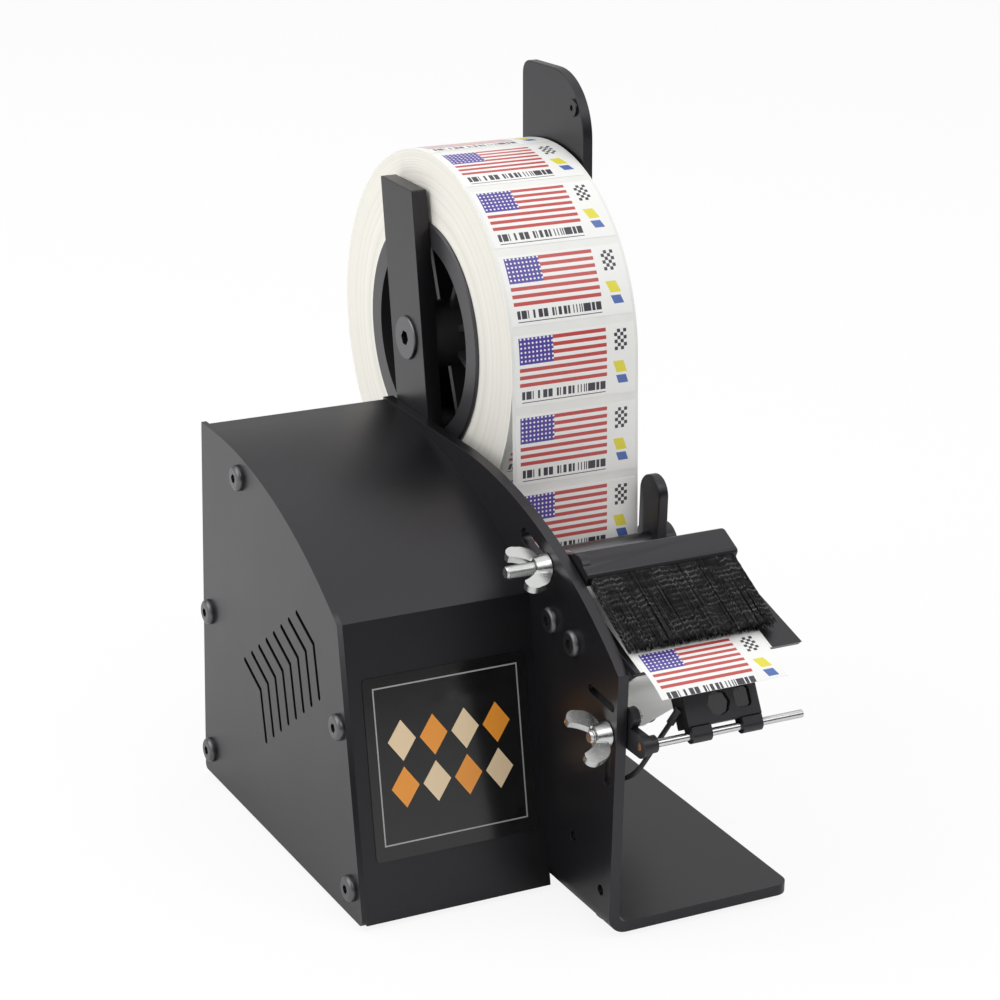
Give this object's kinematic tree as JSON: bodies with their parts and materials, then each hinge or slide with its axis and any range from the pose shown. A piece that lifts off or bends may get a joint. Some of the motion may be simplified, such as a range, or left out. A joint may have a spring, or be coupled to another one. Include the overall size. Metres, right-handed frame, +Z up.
{
  "type": "label dispenser",
  "caption": "Tabletop label dispenser: a roll above a motor housing feeds labels under a brush over a peel deck to a sensor.",
  "frame": {"origin": "on the table under the middle of the machine's bounding box", "axes": "+Z up, +Y from the label outlet at the front towards the roll and the housing's rear wall, +X from the housing across the main plate to the label side"},
  "size_m": [0.1504, 0.2537, 0.2613],
  "materials": {
    "black_sheet": "satin textured powder coat",
    "decal": "glossy printed film",
    "black_plastic": "matte moulded",
    "bristle": "dense nylon bristle",
    "black_screw": "dull black oxide",
    "zinc": "bright zinc",
    "steel": "ground steel",
    "brass": "turned",
    "paper": "coated label paper",
    "cardboard": "wound card",
    "rubber": "ground rubber",
    "lens": "dark lens",
    "board": "solder mask",
    "lead": "flexible jacket"
  },
  "bodies": {
    "chassis": {"main_plate": "black_sheet", "rubber_feet": "rubber", "housing_cover": "black_sheet", "side_panel": "black_sheet", "housing_floor": "black_sheet", "tie_bars": "steel", "plate_tie_screws": "black_screw", "side_panel_screws": "black_screw", "deck_screws": "black_screw", "arm_screws": "black_screw", "motor_screws": "steel", "front_decal": "decal", "power_switch_body": "black_plastic", "power_jack": "black_plastic", "gear_motor": "steel", "shaft_bushing": "brass", "control_board": "board", "board_standoffs": "steel", "roll_arm": "black_sheet", "roll_axle": "steel", "axle_bolt": "black_screw", "guide_rod": "steel", "peel_deck": "black_sheet", "lead_socket": "black_plastic", "pinch_pivot_pin": "steel", "pinch_spring": "steel", "label_web_upper": "paper", "label_web_deck": "paper", "liner_return": "paper", "liner_tail": "paper", "peeled_label": "paper"},
    "roll": {"roll_hub": "black_plastic", "roll_core": "cardboard", "label_roll": "paper"},
    "drive": {"drive_shaft": "steel", "drive_rubber": "rubber"},
    "pinch_arm": {"pinch_arm": "steel"},
    "pinch_roller": {"pinch_roller": "rubber"},
    "brush": {"brush_bar": "black_sheet", "brush_bristles": "bristle", "brush_stud": "zinc"},
    "upper_nut": {"upper_wing_nut": "zinc"},
    "sensor_mount": {"sensor_bracket": "black_plastic", "sensor_rod": "steel", "sensor_stud": "zinc", "bracket_screw": "zinc", "sensor_lead": "lead"},
    "lower_nut": {"lower_wing_nut": "zinc"},
    "sensor": {"sensor_body": "black_plastic", "sensor_lenses": "lens", "sensor_clips": "black_plastic"},
    "web_guide": {"web_guide": "black_sheet"},
    "guide_screw": {"web_guide_screw": "black_screw"},
    "roll_guide": {"outer_roll_plate": "black_sheet", "outer_plate_collar": "black_sheet", "outer_plate_rivet": "black_screw"},
    "collar_screw": {"collar_thumb_screw": "black_screw"},
    "rocker": {"power_rocker": "black_plastic"}
  },
  "joints": [
    {"name": "roll_spin", "type": "hinge", "parent": "chassis", "child": "roll", "pos_m": [0.036, 0.05815, 0.1658], "axis": [1, 0, 0], "continuous": true},
    {"name": "drive_spin", "type": "hinge", "parent": "chassis", "child": "drive", "pos_m": [0.035, -0.02835, 0.0475], "axis": [1, 0, 0], "continuous": true},
    {"name": "pinch_arm_swing", "type": "hinge", "parent": "chassis", "child": "pinch_arm", "pos_m": [0.006, -0.05035, 0.023], "axis": [1, 0, 0], "range_deg": [-15, 0], "stiffness_Nm_per_rad": 0.3, "springref_deg": 22.92},
    {"name": "pinch_spin", "type": "hinge", "parent": "pinch_arm", "child": "pinch_roller", "pos_m": [0.025, -0.02635, 0.0286], "axis": [1, 0, 0], "continuous": true},
    {"name": "brush_slide", "type": "slide", "parent": "chassis", "child": "brush", "axis": [0, 0.9511, 0.309], "range_m": [0, 0.016]},
    {"name": "upper_nut_turn", "type": "hinge", "parent": "brush", "child": "upper_nut", "pos_m": [-0.005, -0.05995, 0.1185], "axis": [1, 0, 0], "range_deg": [-180, 180]},
    {"name": "sensor_mount_slide", "type": "slide", "parent": "chassis", "child": "sensor_mount", "axis": [0, 1, 0], "range_m": [0, 0.007]},
    {"name": "lower_nut_turn", "type": "hinge", "parent": "sensor_mount", "child": "lower_nut", "pos_m": [-0.005, -0.10435, 0.0747], "axis": [1, 0, 0], "range_deg": [-180, 180]},
    {"name": "sensor_slide", "type": "slide", "parent": "sensor_mount", "child": "sensor", "axis": [1, 0, 0], "range_m": [-0.008, 0.014], "deforming": ["sensor_lead"]},
    {"name": "web_guide_slide", "type": "slide", "parent": "chassis", "child": "web_guide", "axis": [1, 0, 0], "range_m": [0, 0.006]},
    {"name": "guide_screw_turn", "type": "hinge", "parent": "web_guide", "child": "guide_screw", "pos_m": [0.0695, -0.01035, 0.102], "axis": [0, 1, 0], "range_deg": [0, 360]},
    {"name": "roll_guide_slide", "type": "slide", "parent": "chassis", "child": "roll_guide", "axis": [1, 0, 0], "range_m": [0, 0.008]},
    {"name": "collar_screw_turn", "type": "hinge", "parent": "roll_guide", "child": "collar_screw", "pos_m": [0.07125, 0.06965, 0.1658], "axis": [0, 1, 0], "range_deg": [0, 360]},
    {"name": "power_switch", "type": "hinge", "parent": "chassis", "child": "rocker", "pos_m": [-0.05, 0.06485, 0.042], "axis": [0, 0, 1], "range_deg": [0, 16]}
  ],
  "couplings": [
    {"joint": "drive_spin", "follows": "roll_spin", "ratio": 6.2454},
    {"joint": "pinch_spin", "follows": "roll_spin", "ratio": -9.8143}
  ]
}
